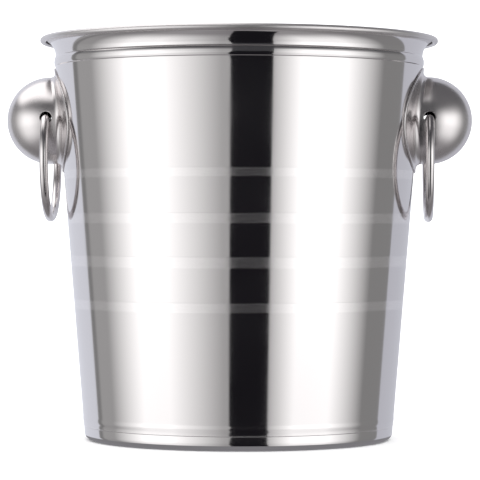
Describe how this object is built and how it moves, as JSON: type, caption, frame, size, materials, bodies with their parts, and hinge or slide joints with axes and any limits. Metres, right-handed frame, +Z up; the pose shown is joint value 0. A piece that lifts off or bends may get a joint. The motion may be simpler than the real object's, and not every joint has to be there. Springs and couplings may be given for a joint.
{
  "type": "champagne bucket",
  "caption": "Tapered steel champagne bucket with a flared rolled rim, a beaded neck, and ball ears that carry hanging ring handles.",
  "frame": {"origin": "centre of the base, on the surface that the bucket stands on", "axes": "+Z up along the bucket's axis, +X through the right ear, -X through the left ear"},
  "size_m": [0.246, 0.21, 0.2113],
  "materials": {
    "polished_steel": "polished stainless steel sheet with four satin turned bands",
    "satin_steel": "satin stainless steel pressing",
    "steel_wire": "polished stainless steel wire",
    "weld_steel": "bare fused steel"
  },
  "bodies": {
    "bucket": {"body_shell": "polished_steel", "base_pan": "polished_steel", "left_ear_shell": "satin_steel", "right_ear_shell": "satin_steel", "left_ear_spot_welds": "weld_steel", "right_ear_spot_welds": "weld_steel"},
    "left_ring_handle": {"left_ring": "steel_wire"},
    "right_ring_handle": {"right_ring": "steel_wire"}
  },
  "joints": [
    {"name": "left_ring_swing", "type": "hinge", "parent": "bucket", "child": "left_ring_handle", "pos_m": [-0.1, 0, 0.168], "axis": [0, 1, 0], "range_deg": [-7, 170]},
    {"name": "right_ring_swing", "type": "hinge", "parent": "bucket", "child": "right_ring_handle", "pos_m": [0.1, 0, 0.168], "axis": [0, -1, 0], "range_deg": [-7, 170]}
  ]
}
